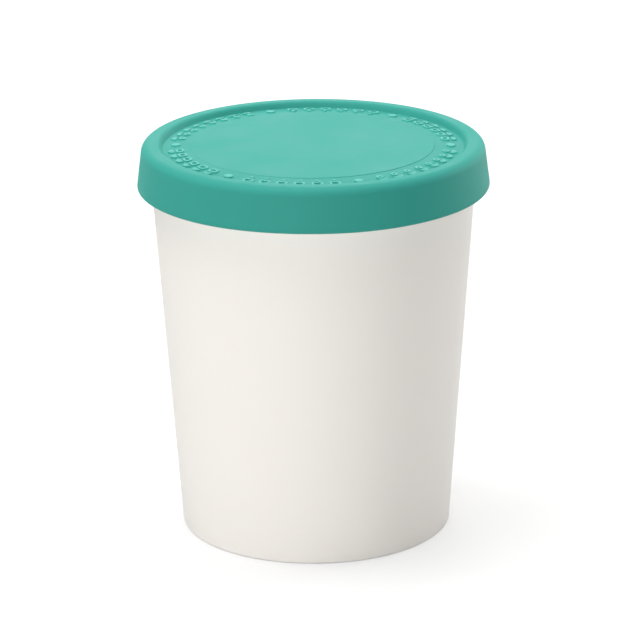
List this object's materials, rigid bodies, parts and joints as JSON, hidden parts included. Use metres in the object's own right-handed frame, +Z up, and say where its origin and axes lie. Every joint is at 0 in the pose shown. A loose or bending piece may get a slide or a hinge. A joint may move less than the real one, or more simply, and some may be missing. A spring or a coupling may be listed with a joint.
{
  "type": "ice cream tub",
  "caption": "Reusable round ice cream tub that widens upwards, shut with a soft stretch lid with a raised rim and a band of small raised marks.",
  "frame": {"origin": "on the table, at the centre of the tub's foot ring", "axes": "+Z up, along the tub's axis; +Y away from the viewer; +X to the viewer's right"},
  "size_m": [0.12, 0.12, 0.136],
  "materials": {
    "tub": "satin warm white polypropylene",
    "lid": "matte teal silicone"
  },
  "bodies": {
    "root": {"tub": "tub", "lid": "lid"}
  },
  "joints": []
}
